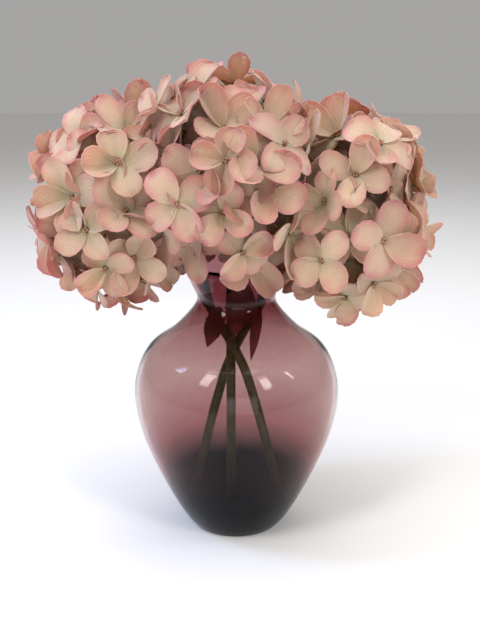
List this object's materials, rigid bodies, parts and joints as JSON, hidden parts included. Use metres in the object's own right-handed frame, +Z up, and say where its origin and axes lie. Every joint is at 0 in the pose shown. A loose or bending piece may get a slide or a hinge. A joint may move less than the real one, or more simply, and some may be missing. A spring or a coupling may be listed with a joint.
{
  "type": "hydrangeas in a vase",
  "caption": "Rounded bunch of hydrangea heads on bare stems, standing in a round-bellied purple glass vase with a narrow neck.",
  "frame": {"origin": "centre of the vase's flat underside", "axes": "+Z up along the vase's axis, +X to the right and -Y towards the viewer"},
  "size_m": [0.2729, 0.1799, 0.3329],
  "materials": {
    "vase_glass": "smooth clear purple glass",
    "petal_fabric": "matt ribbed silk, cream with dusty pink rims",
    "stem_plastic": "matt dark olive",
    "twig_plastic": "matt olive green",
    "leaf_fabric": "matt dark brown green"
  },
  "bodies": {
    "root": {"left_florets_01": "petal_fabric", "left_florets_02": "petal_fabric", "left_florets_03": "petal_fabric", "left_florets_04": "petal_fabric", "left_florets_05": "petal_fabric", "left_florets_06": "petal_fabric", "left_florets_07": "petal_fabric", "left_florets_08": "petal_fabric", "left_florets_09": "petal_fabric", "left_florets_10": "petal_fabric", "left_florets_11": "petal_fabric", "left_florets_12": "petal_fabric", "left_florets_13": "petal_fabric", "left_florets_14": "petal_fabric", "left_florets_15": "petal_fabric", "left_leaf": "leaf_fabric", "left_stem": "stem_plastic", "left_twigs": "twig_plastic", "middle_florets_01": "petal_fabric", "middle_florets_02": "petal_fabric", "middle_florets_03": "petal_fabric", "middle_florets_04": "petal_fabric", "middle_florets_05": "petal_fabric", "middle_florets_06": "petal_fabric", "middle_florets_07": "petal_fabric", "middle_florets_08": "petal_fabric", "middle_florets_09": "petal_fabric", "middle_florets_10": "petal_fabric", "middle_florets_11": "petal_fabric", "middle_florets_12": "petal_fabric", "middle_florets_13": "petal_fabric", "middle_florets_14": "petal_fabric", "middle_florets_15": "petal_fabric", "middle_florets_16": "petal_fabric", "middle_florets_17": "petal_fabric", "middle_leaf": "leaf_fabric", "middle_stem": "stem_plastic", "middle_twigs": "twig_plastic", "right_florets_01": "petal_fabric", "right_florets_02": "petal_fabric", "right_florets_03": "petal_fabric", "right_florets_04": "petal_fabric", "right_florets_05": "petal_fabric", "right_florets_06": "petal_fabric", "right_florets_07": "petal_fabric", "right_florets_08": "petal_fabric", "right_florets_09": "petal_fabric", "right_florets_10": "petal_fabric", "right_florets_11": "petal_fabric", "right_florets_12": "petal_fabric", "right_florets_13": "petal_fabric", "right_florets_14": "petal_fabric", "right_florets_15": "petal_fabric", "right_florets_16": "petal_fabric", "right_leaf": "leaf_fabric", "right_stem": "stem_plastic", "right_twigs": "twig_plastic", "vase": "vase_glass"}
  },
  "joints": []
}
